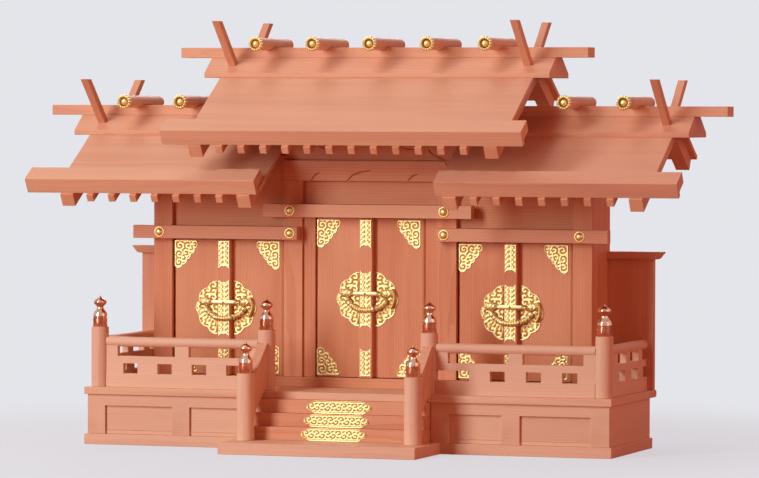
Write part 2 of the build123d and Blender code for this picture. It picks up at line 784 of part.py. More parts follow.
# Forked boards: two bars to a fork, which lean outwards from the cap on both sides of the ridge board
fork_lean = radians(chigi_angle)
fork_spots = [(side, centre_roof_half - chigi_inset, centre_apex) for side in (-1, 1)]
fork_spots += [(side, side_roof_outer - chigi_inset, side_apex) for side in (-1, 1)]
with BuildPart() as forked_boards:
    for side, x, apex in fork_spots:
        foot_y = ridge_depth / 2
        foot_z = apex + ridge_base - chigi_sink
        top_z = apex + ridge_base + ridge_height + chigi_rise
        out_y = foot_y + chigi_width * sin(fork_lean)
        out_z = foot_z - chigi_width * cos(fork_lean)
        for way in (-1, 1):
            bar_x = side * x - side * way * chigi_stagger
            side_profile(
                [(ridge_y + way * foot_y, foot_z), (ridge_y + way * out_y, out_z),
                 (ridge_y + way * (out_y + (top_z - out_z) / tan(fork_lean)), top_z),
                 (ridge_y + way * (foot_y + (top_z - foot_z) / tan(fork_lean)), top_z)],
                bar_x - chigi_width / 2, bar_x + chigi_width / 2)
        side_profile(cap_profile(apex, 2 * cap_half_depth), side * x - 2 * chigi_width,
                     side * x + 2 * chigi_width, mode=Mode.SUBTRACT)
save(forked_boards.part, "forked_boards")


# Doors: each leaf turns on round pins in the sill and the head
def leaf_board(outer, inner, head_z, with_batten):
    """A leaf between its pivot edge and the meeting line, with pins and perhaps the cover batten."""
    way = 1 if inner > outer else -1
    edge = outer + way * leaf_gap
    free = inner - way * meeting_gap / 2
    low, high = sill_top + leaf_clearance, head_z - leaf_clearance
    leaf_back = leaf_front + leaf_thickness
    round_x = edge + way * leaf_thickness / 2
    with BuildSketch(Plane.XY.offset(low)) as section:
        with BuildLine():
            Polyline((round_x, leaf_front), (free, leaf_front), (free, leaf_back), (round_x, leaf_back))
            ThreePointArc((round_x, leaf_back), (edge, leaf_y), (round_x, leaf_front))
        make_face()
    extrude(section.sketch, amount=high - low, dir=(0, 0, 1))
    with BuildSketch(Plane.XY.offset(low - leaf_clearance - pivot_length)) as pins:
        with Locations((edge + way * pivot_inset, leaf_y)):
            Circle(pivot_radius)
    extrude(pins.sketch, amount=high - low + 2 * (leaf_clearance + pivot_length))
    if with_batten:
        block(inner - batten_width / 2, inner + batten_width / 2, leaf_front - batten_thickness, leaf_front,
              low, high)


def corner_fitting(edge, way, z, up):
    """A corner plate with a lobed slanting edge; way and up point away from the corner."""
    w, h = corner_fitting_width, corner_fitting_height

    def at(px, pz):
        return (edge + way * (fitting_edge_gap + w * px), z + up * (fitting_end_gap + h * pz))

    with BuildSketch(Plane.XZ.offset(-leaf_front)) as plate:
        with BuildLine():
            Polyline(at(0, 0), at(1, 0), at(0.98, 0.18), at(0.84, 0.22), at(0.78, 0.4), at(0.6, 0.44),
                     at(0.54, 0.64), at(0.36, 0.68), at(0.28, 0.9), at(0, 1), close=True)
        make_face()
    extrude(plate.sketch, amount=fitting_thickness, dir=(0, -1, 0))


def half_lock(inner, way, z):
    """Half of the round lock plate, with the raised side of the ring that the bar runs through."""
    side_gap = batten_width / 2 + lock_gap
    with BuildSketch(Plane.XZ.offset(-leaf_front)) as plate:
        with Locations((inner, z)):
            Ellipse(lock_width / 2, lock_height / 2)
        with Locations((inner + way * (side_gap - lock_width), z)):
            Rectangle(2 * lock_width, lock_height, mode=Mode.SUBTRACT)
    extrude(plate.sketch, amount=fitting_thickness, dir=(0, -1, 0))
    with BuildSketch(Plane.XZ.offset(-leaf_front)) as ring:
        with Locations((inner, z - lock_ring_drop)):
            RegularPolygon(lock_ring_width / 2, 6)
            Rectangle(lock_ring_width, lock_ring_height, mode=Mode.INTERSECT)
            Rectangle(lock_window_width, lock_window_height, mode=Mode.SUBTRACT)
        with Locations((inner + way * (side_gap - lock_width), z)):
            Rectangle(2 * lock_width, lock_height, mode=Mode.SUBTRACT)
    extrude(ring.sketch, amount=lock_lobe_depth, dir=(0, -1, 0))


def leaf_fittings(outer, inner, head_z, lock_drop, with_batten):
    way = 1 if inner > outer else -1
    low, high = sill_top + leaf_clearance, head_z - leaf_clearance
    lock_z = (sill_top + head_z) / 2 - lock_drop
    corner_fitting(outer + way * leaf_gap, way, low, 1)
    corner_fitting(outer + way * leaf_gap, way, high, -1)
    half_lock(inner, -way, lock_z)
    if with_batten:
        face = leaf_front - batten_thickness
        with BuildSketch(Plane.XZ.offset(-face)) as strips:
            for z in (low + fitting_end_gap + strip_height / 2, high - fitting_end_gap - strip_height / 2):
                with Locations((inner, z)):
                    Rectangle(strip_width, strip_height)
            with Locations((inner, lock_z)):
                Rectangle(strip_width, lock_height)
        extrude(strips.sketch, amount=fitting_thickness, dir=(0, -1, 0))
        with BuildSketch(Plane.XZ.offset(-face)) as bar:
            with Locations((inner, lock_z - lock_ring_drop)):
                Rectangle(2 * lock_bar_half, lock_ring_height)
                Rectangle(lock_window_width - 8, lock_window_height, mode=Mode.SUBTRACT)
        extrude(bar.sketch, amount=lock_bar_depth, dir=(0, -1, 0))


for name, (bay_left, bay_right, head_z, lock_drop) in bays.items():
    middle = (bay_left + bay_right) / 2
    for hand, outer in (("left", bay_left), ("right", bay_right)):
        with BuildPart() as leaf:
            leaf_board(outer, middle, head_z, hand == "left")
        save(leaf.part, f"{name}_door_{hand}_leaf")
        with BuildPart() as gilt:
            leaf_fittings(outer, middle, head_z, lock_drop, hand == "left")
        save(gilt.part, f"{name}_door_{hand}_fittings")
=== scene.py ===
import bmesh
import bpy
import json
import numpy as np
from math import cos, pi, radians, sin
from mathutils import Matrix, Vector

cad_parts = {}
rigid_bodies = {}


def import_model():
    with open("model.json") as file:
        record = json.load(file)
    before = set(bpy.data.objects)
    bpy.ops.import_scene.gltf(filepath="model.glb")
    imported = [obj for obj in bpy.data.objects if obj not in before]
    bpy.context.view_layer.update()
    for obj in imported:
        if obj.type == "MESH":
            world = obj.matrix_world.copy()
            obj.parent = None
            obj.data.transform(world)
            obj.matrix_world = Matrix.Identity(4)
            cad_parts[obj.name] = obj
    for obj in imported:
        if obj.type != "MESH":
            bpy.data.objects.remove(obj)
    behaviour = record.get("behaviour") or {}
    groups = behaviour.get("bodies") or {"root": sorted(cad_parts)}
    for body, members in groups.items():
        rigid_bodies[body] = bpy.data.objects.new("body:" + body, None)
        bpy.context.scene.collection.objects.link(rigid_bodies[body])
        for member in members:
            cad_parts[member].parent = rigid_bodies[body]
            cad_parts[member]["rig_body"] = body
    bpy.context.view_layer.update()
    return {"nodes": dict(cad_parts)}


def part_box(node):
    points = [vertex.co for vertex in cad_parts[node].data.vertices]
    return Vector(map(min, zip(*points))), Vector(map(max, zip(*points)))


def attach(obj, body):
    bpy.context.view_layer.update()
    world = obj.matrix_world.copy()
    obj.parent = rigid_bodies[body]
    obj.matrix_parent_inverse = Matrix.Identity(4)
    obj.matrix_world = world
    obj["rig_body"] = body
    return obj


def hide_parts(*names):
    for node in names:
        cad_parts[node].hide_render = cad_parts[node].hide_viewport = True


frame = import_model()
nodes = frame["nodes"]
mm = 0.001


# Helpers for colours, nodes and pieces

def hexToLinear(code):  # sRGB hex to the linear colour that a shader socket takes
    values = [int(code[i:i + 2], 16) / 255 for i in (1, 3, 5)]
    linear = [v / 12.92 if v <= 0.04045 else ((v + 0.055) / 1.055) ** 2.4 for v in values]
    return (*linear, 1.0)


def addNode(tree, kind, settings=None, inputs=None, stops=()):
    # settings are properties; inputs are values, sockets, or nodes whose first output is linked;
    # stops are the (place, hex) pairs of a colour ramp
    node = tree.nodes.new(kind)
    for name, value in (settings or {}).items():
        setattr(node, name, value)
    for name, value in (inputs or {}).items():
        if isinstance(value, bpy.types.Node):
            value = value.outputs[0]
        if isinstance(value, bpy.types.NodeSocket):
            tree.links.new(value, node.inputs[name])
        else:
            node.inputs[name].default_value = value
    if stops:
        elements = node.color_ramp.elements
        while len(elements) < len(stops):
            elements.new(0.5)
        for element, (place, code) in zip(elements, stops):
            element.position = place
            element.color = hexToLinear(code)
    return node


def newMaterial(name):
    material = bpy.data.materials.new(name)
    material.use_nodes = True
    material.node_tree.nodes.clear()
    return material, material.node_tree


def setAttribute(mesh, name, values):  # one number or one vector for each vertex
    kind, field = ("FLOAT", "value") if values.ndim == 1 else ("FLOAT_VECTOR", "vector")
    mesh.attributes.new(name, kind, "POINT").data.foreach_set(field, values.ravel())


def newPiece(name, mesh, material):
    mesh.materials.append(material)
    piece = bpy.data.objects.new(name, mesh)
    bpy.context.scene.collection.objects.link(piece)
    return piece


# Hinoki, planed and left bare: soft straight grain, satin where it was planed, matt on the ends

hinokiLook = {
    "early": "#E2A27A",         # pale early wood between the rings
    "middle": "#D68C66",
    "late": "#C0704A",          # late wood, the thin darker line of each ring
    "middlePlace": 0.45,        # where the middle colour stands on the way from early to late
    "litPale": "#FBEBD4",       # painted light: the most exposed boards are mixed towards this pale colour
    "ringSpacing": 2.4 * mm,    # growth rings of slow cypress, drawn a little wide so that they show
    "pithAway": 0.07,           # metres from the board to the middle of the tree
    "lateSharpness": 3.0,       # a higher power draws a thinner line
    "wander": 2.6,              # rings wander sideways by up to this many spacings
    "wanderScale": (7, 60, 60),  # patches for each metre along and across the board
    "cloudScale": (5, 75, 75),  # paler and darker patches, likewise
    "fibre": 0.35 * mm,         # width of a fibre bundle that catches light
    "fibreScale": 60,           # fibre bundles for each metre of length
    "startDepth": -0.4,         # the colour's depth is this and a weighted sum of the next four
    "lateWeight": 0.34,
    "cloudWeight": 0.95,
    "fibreWeight": 0.18,
    "toneWeight": 0.22,         # each board's own tone, and the painted shade at the bottom of carved cuts
    "roughness": 0.55,
    "lateRoughness": -0.1,      # late wood planes smoother
    "sheen": 0.22,              # bare wood has hardly any shine
    "bumpStrength": 0.12,
    "bumpDepth": 0.2 * mm,
}


def makeHinoki():
    # Rings are cylinders round the pith. The distance from it in ring spacings, with some wander,
    # leaves a fraction whose power is the late wood.
    look = hinokiLook
    material, tree = newMaterial("hinokiPlaned")
    grain = addNode(tree, "ShaderNodeAttribute", {"attribute_name": "grain"}).outputs["Vector"]
    toneAndShade = addNode(tree, "ShaderNodeAttribute", {"attribute_name": "toneAndShade"}).outputs["Fac"]
    litPaleness = addNode(tree, "ShaderNodeAttribute", {"attribute_name": "litPaleness"}).outputs["Fac"]
    patches = {}
    for name, scale, detail in (("wander", look["wanderScale"], 2.0), ("cloud", look["cloudScale"], 3.0),
                                ("fibre", (look["fibreScale"], 1 / look["fibre"], 1 / look["fibre"]), 2.0)):
        stretched = addNode(tree, "ShaderNodeMapping", inputs={"Vector": grain, "Scale": scale})
        patches[name] = addNode(tree, "ShaderNodeTexNoise", inputs={
            "Vector": stretched, "Scale": 1.0, "Detail": detail}).outputs["Fac"]
    acrossTree = addNode(tree, "ShaderNodeMapping", inputs={
        "Vector": grain, "Location": (0, look["pithAway"], 0), "Scale": (0, 1, 1)})
    fromPith = addNode(tree, "ShaderNodeVectorMath", {"operation": "LENGTH"}, {0: acrossTree}).outputs["Value"]
    wander = addNode(tree, "ShaderNodeMath", {"operation": "MULTIPLY"}, {0: patches["wander"], 1: look["wander"]})
    rings = addNode(tree, "ShaderNodeMath", {"operation": "MULTIPLY_ADD"},
                    {0: fromPith, 1: 1 / look["ringSpacing"], 2: wander})
    inRing = addNode(tree, "ShaderNodeMath", {"operation": "FRACT"}, {0: rings})
    lateWood = addNode(tree, "ShaderNodeMath", {"operation": "POWER"}, {0: inRing, 1: look["lateSharpness"]})
    depth = look["startDepth"]
    for source, weight in ((lateWood, look["lateWeight"]), (patches["cloud"], look["cloudWeight"]),
                           (patches["fibre"], look["fibreWeight"]), (toneAndShade, look["toneWeight"])):
        depth = addNode(tree, "ShaderNodeMath", {"operation": "MULTIPLY_ADD"}, {0: source, 1: weight, 2: depth})
    ringed = addNode(tree, "ShaderNodeValToRGB", inputs={"Fac": depth}, stops=(
        (0.0, look["early"]), (look["middlePlace"], look["middle"]), (1.0, look["late"])))
    # painted light: each board is mixed towards the pale lit colour by its group's share
    colour = addNode(tree, "ShaderNodeMixRGB", inputs={
        "Fac": litPaleness, "Color1": ringed, "Color2": hexToLinear(look["litPale"])})
    bump = addNode(tree, "ShaderNodeBump", inputs={
        "Strength": look["bumpStrength"], "Distance": look["bumpDepth"], "Height": patches["fibre"]})
    roughness = addNode(tree, "ShaderNodeMath", {"operation": "MULTIPLY_ADD"},
                        {0: lateWood, 1: look["lateRoughness"], 2: look["roughness"]})
    shader = addNode(tree, "ShaderNodeBsdfPrincipled", inputs={
        "Base Color": colour, "Roughness": roughness, "Normal": bump, "IOR": 1.5,
        "Specular IOR Level": look["sheen"]})
    addNode(tree, "ShaderNodeOutputMaterial", inputs={"Surface": shader})
    return material


giltLook = {
    "hollowShade": "#B5792F",   # orange brown, painted shade in the hollows, where the gilding reflects itself
    "slope": "#E2BE72",
    "ridge": "#F2DEA2",    # pale gold, a painted highlight on the raised parts
    "heights": (0.02, 0.32, 0.75),  # the relief at which each of the three stands
    "roughness": 0.48,
    "gritScale": 1300.0,   # grains for each metre, about 0.8 mm each
    "gritStrength": 0.15,
    "gritDepth": 0.1 * mm,
}


def makeGilt():  # brass, stamped and gilt: its colour follows the relief, with a painted highlight, pale and bright, on the raised parts and painted shade, orange brown, in the hollows
    look = giltLook
    material, tree = newMaterial("giltStampedBrass")
    place = addNode(tree, "ShaderNodeTexCoord").outputs["Object"]
    relief = addNode(tree, "ShaderNodeAttribute", {"attribute_name": "relief"}).outputs["Fac"]
    grit = addNode(tree, "ShaderNodeTexNoise", inputs={
        "Vector": place, "Scale": look["gritScale"], "Detail": 2.0}).outputs["Fac"]
    bump = addNode(tree, "ShaderNodeBump", inputs={
        "Strength": look["gritStrength"], "Distance": look["gritDepth"], "Height": grit})
    # painted light: low relief is coloured as shade, high relief as a highlight
    colour = addNode(tree, "ShaderNodeValToRGB", inputs={"Fac": relief}, stops=list(
        zip(look["heights"], (look["hollowShade"], look["slope"], look["ridge"]))))
    shader = addNode(tree, "ShaderNodeBsdfPrincipled", inputs={
        "Base Color": colour, "Metallic": 1.0, "Roughness": look["roughness"], "Normal": bump})
    addNode(tree, "ShaderNodeOutputMaterial", inputs={"Surface": shader})
    return material


copperLook = {
    "shade": "#E39C77",
    "bright": "#F9D0B8",
    "span": (0.35, 0.7),   # where the painted patches turn from shade to highlight
    "paintedLightScale": 140.0,   # painted patches of shade and highlight for each metre, about 7 mm each
    "roughness": 0.13,
}


def makeCopper():  # copper plate, polished: clear reflections, rosy, with painted patches of shade and highlight
    look = copperLook
    material, tree = newMaterial("copperPlatedPolished")
    place = addNode(tree, "ShaderNodeTexCoord").outputs["Object"]
    paintedLightPatches = addNode(tree, "ShaderNodeTexNoise", inputs={
        "Vector": place, "Scale": look["paintedLightScale"], "Detail": 2.0}).outputs["Fac"]
    colour = addNode(tree, "ShaderNodeValToRGB", inputs={"Fac": paintedLightPatches}, stops=list(
        zip(look["span"], (look["shade"], look["bright"]))))
    shader = addNode(tree, "ShaderNodeBsdfPrincipled", inputs={
        "Base Color": colour, "Metallic": 1.0, "Roughness": look["roughness"]})
    addNode(tree, "ShaderNodeOutputMaterial", inputs={"Surface": shader})
    return material


hinoki = makeHinoki()
gilt = makeGilt()
copper = makeCopper()
print("materials made")


# Wooden pieces: each CAD node's boards get soft arrises and grain along their own length

woodFinish = {
    "arris": 0.45 * mm,         # softened edge of a planed board
    "arrisSegments": 2,
    "arrisOver": radians(40),   # edges that turn by more than this get an arris
    "smoothUnder": radians(35),
    "mergeWithin": 0.002 * mm,
    "flatWithin": radians(1.0),
    "snapWithin": 0.97,         # a board this near to an axis is laid exactly along it
    "grainShift": (0.4, 0.05, 0.02),  # how far apart in the tree boards may come from, in metres
    "seed": 7,
}
logEnds = {"round": 4.2 * mm, "segments": 5, "rimWithin": 1.0 * mm}
roofEnds = {  # large rafters' noses come less far forward than in the CAD model, back slopes further down
    "pitch": radians(31),
    "noseCut": {"centre_rafters": 10.3 * mm, "side_rafters": 8.5 * mm},
    "noseWithin": 1.0 * mm,
    "backReach": 23 * mm,
    "backWithin": 12 * mm,
    "backPieces": ("centre_roof_boards", "side_roof_boards", "centre_rafters", "side_rafters"),
}
coverBatten = {"half": 6.2 * mm, "within": 0.3 * mm, "shift": -2.8 * mm}  # a little to the left of the joint
# Painted light: how far each group of boards is mixed towards the pale lit colour, more for the outer pieces that
# catch the white light; the first word found in a piece's name counts
litPalenessByBoard = {
    "rail_posts": 0.4, "railings": 0.42, "stair_rails": 0.2, "base": 0.36, "deck": 0.3, "plinth": 0.36,
    "step": 0.08, "roof_boards": 0.19, "eave": 0.2, "caps": 0.15, "logs": 0.3, "forked": 0.15,
    "ridge": 0.15, "rafters": 0.12, "lintels": 0.12, "wing": 0.1,
}
metalNodes = [n for n in nodes if n.endswith("_fittings") or n in ("nail_covers", "log_caps", "post_finials")]
shuffle = np.random.default_rng(woodFinish["seed"])


def mergedMesh(name):  # a copy of a CAD node's loose triangles, joined and with its flat faces whole
    work = bmesh.new()
    work.from_mesh(nodes[name].data)
    bmesh.ops.remove_doubles(work, verts=work.verts, dist=woodFinish["mergeWithin"])
    bmesh.ops.dissolve_limit(work, angle_limit=woodFinish["flatWithin"], verts=work.verts, edges=work.edges)
    return work


def pointsOf(mesh):
    points = np.empty(len(mesh.vertices) * 3)
    mesh.vertices.foreach_get("co", points)
    return points.reshape(-1, 3)


def islandsOf(mesh):  # one number per vertex: vertices joined by edges share the lowest index among them
    edges = np.empty(len(mesh.edges) * 2, int)
    mesh.edges.foreach_get("vertices", edges)
    edges = edges.reshape(-1, 2)
    labels = np.arange(len(mesh.vertices))
    while True:
        low = np.minimum(labels[edges[:, 0]], labels[edges[:, 1]])
        fresh = labels.copy()
        np.minimum.at(fresh, edges[:, 0], low)
        np.minimum.at(fresh, edges[:, 1], low)
        fresh = fresh[fresh]
        if np.array_equal(fresh, labels):
            return labels
        labels = fresh


def grainOf(points, labels):
    # coordinates along and across each board, whose longest direction comes from the spread of its corners
    grain = np.zeros_like(points)
    toneAndShade = np.zeros(len(points))
    for label in np.unique(labels):
        members = labels == label
        board = points[members]
        middle = (board.min(0) + board.max(0)) / 2
        axes = np.linalg.svd(board - board.mean(0), full_matrices=False)[2]
        for i in range(3):
            strongest = np.argmax(np.abs(axes[i]))
            if abs(axes[i][strongest]) > woodFinish["snapWithin"]:
                axes[i] = np.eye(3)[strongest]
        shift = shuffle.uniform(-1, 1, 3) * woodFinish["grainShift"]
        grain[members] = (board - middle) @ axes.T + shift
        toneAndShade[members] = shuffle.uniform(-1, 1)
    return grain, toneAndShade


def slideEnd(points, direction, within, distance):  # moves the end that lies furthest in a direction
    along = points @ direction
    points[along > along.max() - within] += direction * distance


def dressWood(name):
    source = nodes[name]
    work = mergedMesh(name)
    if name == "ridge_logs":
        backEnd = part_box(name)[1].y - logEnds["rimWithin"]
        rims = [e for e in work.edges if all(v.co.y > backEnd for v in e.verts)]
        bmesh.ops.bevel(work, geom=rims, offset=logEnds["round"], segments=logEnds["segments"],
                        profile=0.5, affect="EDGES")
    mesh = bpy.data.meshes.new(name + "_wood")
    work.to_mesh(mesh)
    work.free()
    points = pointsOf(mesh)
    forward, down = cos(roofEnds["pitch"]), sin(roofEnds["pitch"])
    if name in roofEnds["noseCut"]:
        slideEnd(points, np.array((0, -forward, -down)), roofEnds["noseWithin"], -roofEnds["noseCut"][name])
    if name in roofEnds["backPieces"]:
        slideEnd(points, np.array((0, forward, -down)), roofEnds["backWithin"], roofEnds["backReach"])
    if name.endswith("_left_leaf"):
        middle = (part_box(name)[0].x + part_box(name.replace("left_leaf", "right_leaf"))[1].x) / 2
        offJoint = np.abs(points[:, 0] - middle)
        points[np.abs(offJoint - coverBatten["half"]) < coverBatten["within"], 0] += coverBatten["shift"]
    mesh.vertices.foreach_set("co", points.ravel())
    mesh.update()
    grain, toneAndShade = grainOf(points, islandsOf(mesh))
    # painted light: outer pieces get more of the pale lit colour
    litPaleness = next((value for word, value in litPalenessByBoard.items() if word in name), 0.0)
    setAttribute(mesh, "grain", grain)
    setAttribute(mesh, "toneAndShade", toneAndShade)
    setAttribute(mesh, "litPaleness", np.full(len(points), litPaleness))
    mesh.shade_smooth()
    mesh.set_sharp_from_angle(angle=woodFinish["smoothUnder"])
    piece = newPiece(name + "_wood", mesh, hinoki)
    bevel = piece.modifiers.new("arris", "BEVEL")
    bevel.width = woodFinish["arris"]
    bevel.segments = woodFinish["arrisSegments"]
    bevel.limit_method = "ANGLE"
    bevel.angle_limit = woodFinish["arrisOver"]
    bevel.harden_normals = True
    bevel.use_clamp_overlap = True
    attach(piece, source["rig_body"])
    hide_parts(name)


for name in sorted(nodes):
    if name not in metalNodes:
        dressWood(name)
print("wood dressed")


# Metal pieces: curved grids whose rows and columns are places in mm

def newSheet():
    return {"points": [], "quads": [], "relief": [], "count": 0}


def addGrid(sheet, points, relief, around, flip):
    # joins each place in a grid to the next in its row and its column; around closes each row
    rows, columns = relief.shape
    index = np.arange(rows * columns).reshape(rows, columns) + sheet["count"]
    if around:
        index = np.hstack([index, index[:, :1]])
    quads = np.stack([index[:-1, :-1], index[1:, :-1], index[1:, 1:], index[:-1, 1:]], -1).reshape(-1, 4)
    sheet["points"].append(points.reshape(-1, 3) * mm)
    sheet["quads"].append(quads[:, ::-1] if flip else quads)
    sheet["relief"].append(relief.ravel())
    sheet["count"] += rows * columns


def addPatch(sheet, x, z, relief, face, base=0.35, height=0.34):
    # a stamped sheet that stands base plus height times its relief in front of the plane y = face;
    # one more row all round drops straight back to that plane
    x, z = np.broadcast_arrays(x, z)
    lift = np.pad(base + height * relief, 1)
    x, z, relief = (np.pad(grid, 1, mode="edge") for grid in (x, z, relief))
    across = (np.diff(x, axis=0)[:, :-1] * np.diff(z, axis=1)[:-1]
              - np.diff(z, axis=0)[:, :-1] * np.diff(x, axis=1)[:-1])
    addGrid(sheet, np.stack([x, face - lift, z], -1), relief, False, across.sum() < 0)


def addTurned(sheet, along, radius, origin, axis, segments=48, petals=1, depth=0.0, squash=1.0, relief=1.0):
    # a profile turned round an axis: at each angle its radius is less by depth times half of one minus
    # the cosine of petals times the angle, and squash flattens it one way
    line = np.array({"z": (0, 0, 1), "-y": (0, -1, 0), "x": (1, 0, 0)}[axis], float)
    first = np.array((0, 0, 1) if axis == "x" else (1, 0, 0), float)
    second = np.cross(line, first)
    angle = np.linspace(0, 2 * pi, segments, endpoint=False)[None, :]
    rows = np.zeros((len(along), 1))
    along, radius, depth, relief = (np.reshape(v, (-1, 1)) + rows for v in (along, radius, depth, relief))
    valley = 0.5 - 0.5 * np.cos(petals * angle)
    reach = radius * (1 - depth * valley)
    points = (np.array(origin) + along[..., None] * line + (reach * np.cos(angle))[..., None] * first
              + (reach * np.sin(angle) * squash)[..., None] * second)
    # painted shade: the relief, and so the colour, drops in the valleys between the petals
    addGrid(sheet, points, relief * (1 - 4 * depth * valley), True, True)


def addTube(sheet, path, radius, relief, segments=14):
    # a round rod: a circle stands square to the path at each of its places, and the ends close to a point
    ahead = np.gradient(path, axis=0)
    ahead /= np.linalg.norm(ahead, axis=1)[:, None]
    first = np.cross(ahead, (0, 1, 0))
    first /= np.linalg.norm(first, axis=1)[:, None]
    second = np.cross(ahead, first)
    angle = np.linspace(0, 2 * pi, segments, endpoint=False)
    radius = np.broadcast_to(radius, len(path))
    ring = np.cos(angle)[None, :, None] * first[:, None] + np.sin(angle)[None, :, None] * second[:, None]
    points = path[:, None] + ring * radius[:, None, None]
    points = np.concatenate([path[None, :1].repeat(segments, 1), points, path[None, -1:].repeat(segments, 1)])
    shade = np.broadcast_to(relief, len(path))
    shade = np.concatenate([shade[:1], shade, shade[-1:]])[:, None] * np.ones(segments)
    addGrid(sheet, points, shade, True, True)


def finishSheet(sheet, name, material):
    mesh = bpy.data.meshes.new(name + "_metal")
    mesh.from_pydata(np.concatenate(sheet["points"]).tolist(), [], np.concatenate(sheet["quads"]).tolist())
    setAttribute(mesh, "relief", np.concatenate(sheet["relief"]))
    mesh.shade_smooth()
    mesh.set_sharp_from_angle(angle=radians(60))
    piece = newPiece(name + "_metal", mesh, material)
    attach(piece, nodes[name]["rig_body"])
    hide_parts(name)


def inMillimetres(name):
    low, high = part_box(name)
    return np.array(low) / mm, np.array(high) / mm


def solidsOf(name):  # lowest and highest corner, in mm, of each solid in a node
    work = mergedMesh(name)
    mesh = bpy.data.meshes.new("scratch")
    work.to_mesh(mesh)
    work.free()
    points = pointsOf(mesh) / mm
    labels = islandsOf(mesh)
    bpy.data.meshes.remove(mesh)
    return [(points[labels == label].min(0), points[labels == label].max(0)) for label in np.unique(labels)]


tendrils = {"pitch": 3.3, "span": 3.4, "floor": 0.22, "gain": 2.4}  # of the door fittings, in mm


def scrolls(x, z, centres, pitch, span):
    # stamped tendrils as spiral waves: a cosine of the distance from a centre in pitches less its turns,
    # and each centre weighs as a bell curve of that distance
    total = np.zeros_like(x + z)
    weight = total + 1e-9
    for centreX, centreZ, turns in centres:
        away = np.hypot(x - centreX, z - centreZ)
        bearing = np.arctan2(z - centreZ, x - centreX)
        near = np.exp(-(away / span) ** 2)
        total += near * (0.5 + 0.5 * np.cos(2 * pi * away / pitch - turns * bearing))
        weight += near
    return np.clip((total / weight - tendrils["floor"]) * tendrils["gain"], 0, 1)


cornerPlate = {  # in mm from the leaf's corner; a lobe is its place and radius, a scroll its place and turns
    "edgeGap": 2.6, "endGap": 1.6, "shift": -1.9, "border": 1.0, "rim": 0.965, "grid": (56, 84),
    "lobes": ((18.6, 3.2, 3.8), (15.3, 8.2, 4.3), (11.2, 13.0, 4.5), (7.6, 18.0, 4.3), (3.5, 21.9, 3.7)),
    "scrolls": ((5, 5, 1), (13, 4.5, -1), (19.5, 3, 1), (4.5, 13, -1), (4, 20.5, 1), (11, 11.5, 1),
                (8.5, 17, -1), (16, 8, -1)),
}


def addCorner(sheet, cornerX, cornerZ, way, up, face):
    # rays from the corner, each as long as the far side of the furthest round lobe that it meets
    look = cornerPlate
    angle = np.linspace(0, pi / 2, look["grid"][1])[None, :]
    share = np.linspace(0, 1, look["grid"][0])[:, None]
    reach = np.zeros_like(angle)
    for lobeX, lobeZ, radius in look["lobes"]:
        ahead = lobeX * np.cos(angle) + lobeZ * np.sin(angle)
        aside = lobeX * np.sin(angle) - lobeZ * np.cos(angle)
        farSide = ahead + np.sqrt(np.clip(radius ** 2 - aside ** 2, 0, None))
        reach = np.maximum(reach, np.where(np.abs(aside) < radius, farSide, 0))
    x, z = share * reach * np.cos(angle), share * reach * np.sin(angle)
    relief = scrolls(x, z, look["scrolls"], tendrils["pitch"], tendrils["span"])
    rim = (x < look["border"]) | (z < look["border"]) | (share > look["rim"])
    addPatch(sheet, cornerX + way * x, cornerZ + up * z, np.where(rim, 1.0, relief), face)


stripPlate = {  # in mm
    "width": 10.2, "height": 25.6, "horn": 3.2, "hornCurve": 0.7, "point": 0.9, "pointWidth": 0.22,
    "border": 1.0, "sideRim": 0.84, "endRim": 0.95, "scrollEvery": 4.4, "scrollAside": 2.2,
    "columns": 34, "rows": 60, "rowsBothEnds": 110,
}


def addStrip(sheet, middle, z, up, face, height, bothEnds=False):
    # a straight strip whose end dips between two horns as a cosine's power, with a small bell in the middle
    look = stripPlate
    side = np.linspace(-1, 1, look["columns"])[None, :]
    share = np.linspace(-1, 1, look["rowsBothEnds"]) if bothEnds else np.linspace(0, 1, look["rows"])
    share = share[:, None]
    reach = (height - look["horn"] * np.cos(side * pi / 2) ** look["hornCurve"]
             + look["point"] * np.exp(-(side / look["pointWidth"]) ** 2))
    x, along = side * look["width"] / 2, share * reach
    places = (np.arange(-6, 7) + 0.5) * look["scrollEvery"]
    centres = [(way * look["scrollAside"], place, way) for place in places for way in (-1, 1)]
    relief = scrolls(x, along, centres, tendrils["pitch"], tendrils["span"])
    rim = (np.abs(side) > look["sideRim"]) | (np.abs(share) > look["endRim"])
    if not bothEnds:
        rim = rim | (along < look["border"])
    addPatch(sheet, middle + x, z + up * along, np.where(rim, 1.0, relief), face)


lockPlate = {  # in mm from the lock's centre, but scrolls from the middle of a half's inner edge
    "width": 59.5, "height": 53.0, "inner": 8.4, "lobes": 5.5, "lobeDepth": 0.1, "rim": 0.96,
    "base": 0.35, "relief": 0.45, "grid": (64, 150), "pitchTimes": 1.25, "spanTimes": 1.1,
    "scrollRows": {4: (-20, -14.5, -9, 9, 14.5, 20), 10: (-16, -10, -3, 4, 11, 16)},
    "outerScrolls": [(16, -6, 1), (16, 7, -1), (15, 0, 1)],
    "ribs": 34, "ribsAt": (24, 17), "ribsWide": 0.2, "ribsUnder": -2, "ribRelief": 0.75,
}


